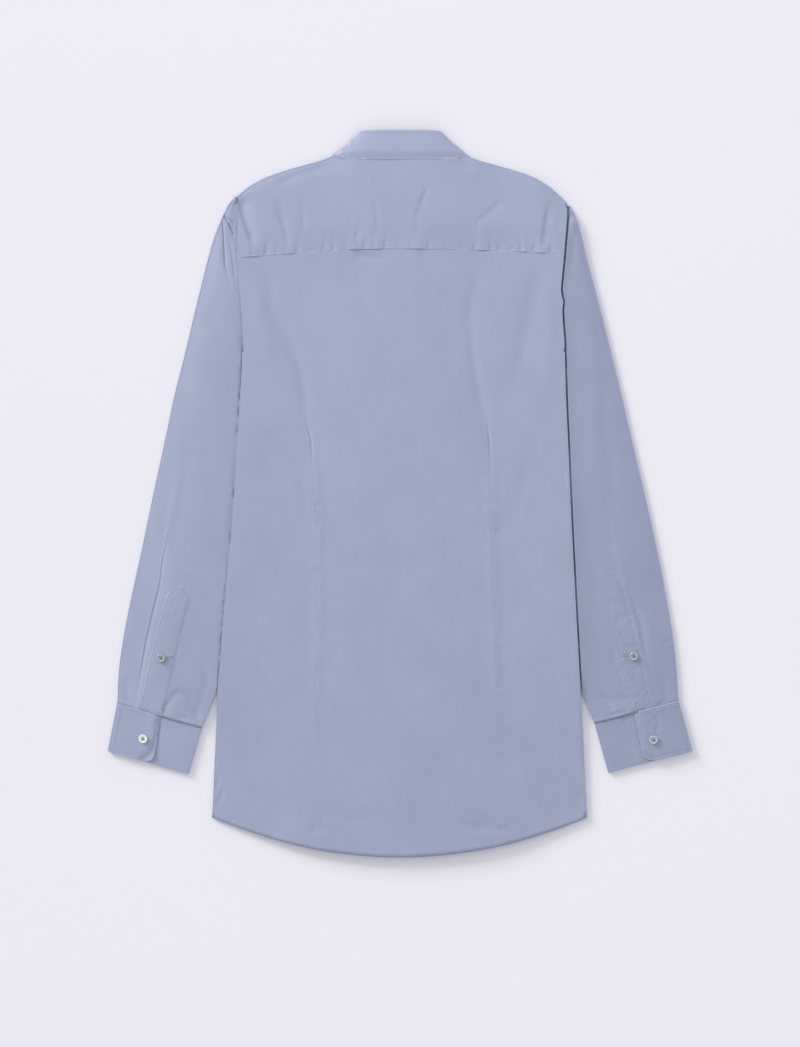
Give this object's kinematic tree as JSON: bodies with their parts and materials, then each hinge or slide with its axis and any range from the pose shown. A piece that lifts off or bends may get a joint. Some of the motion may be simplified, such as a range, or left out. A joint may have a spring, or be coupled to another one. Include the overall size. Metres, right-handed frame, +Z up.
{
  "type": "long sleeve dress shirt",
  "caption": "Long sleeve dress shirt buttoned and laid flat face down, with yoke, shirt collar, back darts, placket openings, buttoned cuffs and a curved hem.",
  "frame": {"origin": "middle of the laid shirt's outline, on the surface that it lies on", "axes": "+Y from the hem towards the collar, +Z up from the surface through the front to the back, +X to the right-hand sleeve as seen from above"},
  "size_m": [0.6716, 0.8346, 0.0136],
  "materials": {
    "shirting": "fine plain-weave cotton, smooth and matt",
    "interlined": "the same cotton stiffened with interlining, pressed flat",
    "button": "polished, pearly off-white"
  },
  "bodies": {
    "root": {"back": "shirting", "yoke": "shirting", "left_front": "shirting", "right_front": "shirting", "front_band": "shirting", "collar_stand": "interlined", "collar_leaf": "interlined", "left_sleeve": "shirting", "left_sleeve_facing": "shirting", "left_cuff": "interlined", "right_sleeve": "shirting", "right_sleeve_facing": "shirting", "right_cuff": "interlined", "left_cuff_button": "button", "left_facing_button": "button", "right_cuff_button": "button", "right_facing_button": "button", "front_button_1": "button", "front_button_2": "button", "front_button_3": "button", "front_button_4": "button", "front_button_5": "button", "front_button_6": "button", "collar_button": "button"}
  },
  "joints": []
}
